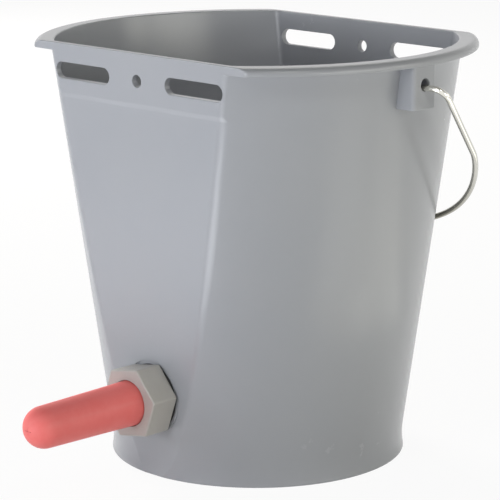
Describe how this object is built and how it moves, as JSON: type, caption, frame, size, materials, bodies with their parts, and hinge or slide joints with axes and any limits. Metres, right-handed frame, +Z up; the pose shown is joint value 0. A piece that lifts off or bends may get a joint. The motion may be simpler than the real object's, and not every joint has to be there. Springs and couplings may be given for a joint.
{
  "type": "calf feeding bucket",
  "caption": "Moulded feeding bucket with two flat sides, slotted hanging bands, a swinging wire bail and a teat on a screwed ball valve.",
  "frame": {"origin": "centre of the bucket's foot plane, on the axis of the curved sides", "axes": "+Z up out of the mouth, -Y the way the teat points out of the front flat, +X to the right seen from the teat's side"},
  "size_m": [0.3088, 0.305, 0.268],
  "materials": {
    "bucket_grey": "lightly grained moulded plastic",
    "fitting_grey": "moulded",
    "teat_red": "soft matt rubber",
    "seal_black": "matt",
    "ball_white": "smooth",
    "bright_steel": "bright drawn wire"
  },
  "bodies": {
    "bucket": {"bucket_body": "bucket_grey", "union_nut": "fitting_grey", "outer_seal": "seal_black", "inner_seal": "seal_black", "teat": "teat_red", "valve_body": "fitting_grey", "ball_retainer": "fitting_grey"},
    "bail": {"bail": "bright_steel"},
    "ball": {"valve_ball": "ball_white"}
  },
  "joints": [
    {"name": "bail_hinge", "type": "hinge", "parent": "bucket", "child": "bail", "pos_m": [0, 0, 0.24995], "axis": [1, 0, 0], "range_deg": [0, 274]},
    {"name": "valve_ball_slide", "type": "slide", "parent": "bucket", "child": "ball", "axis": [0, -1, 0], "range_m": [0, 0.0045]}
  ]
}
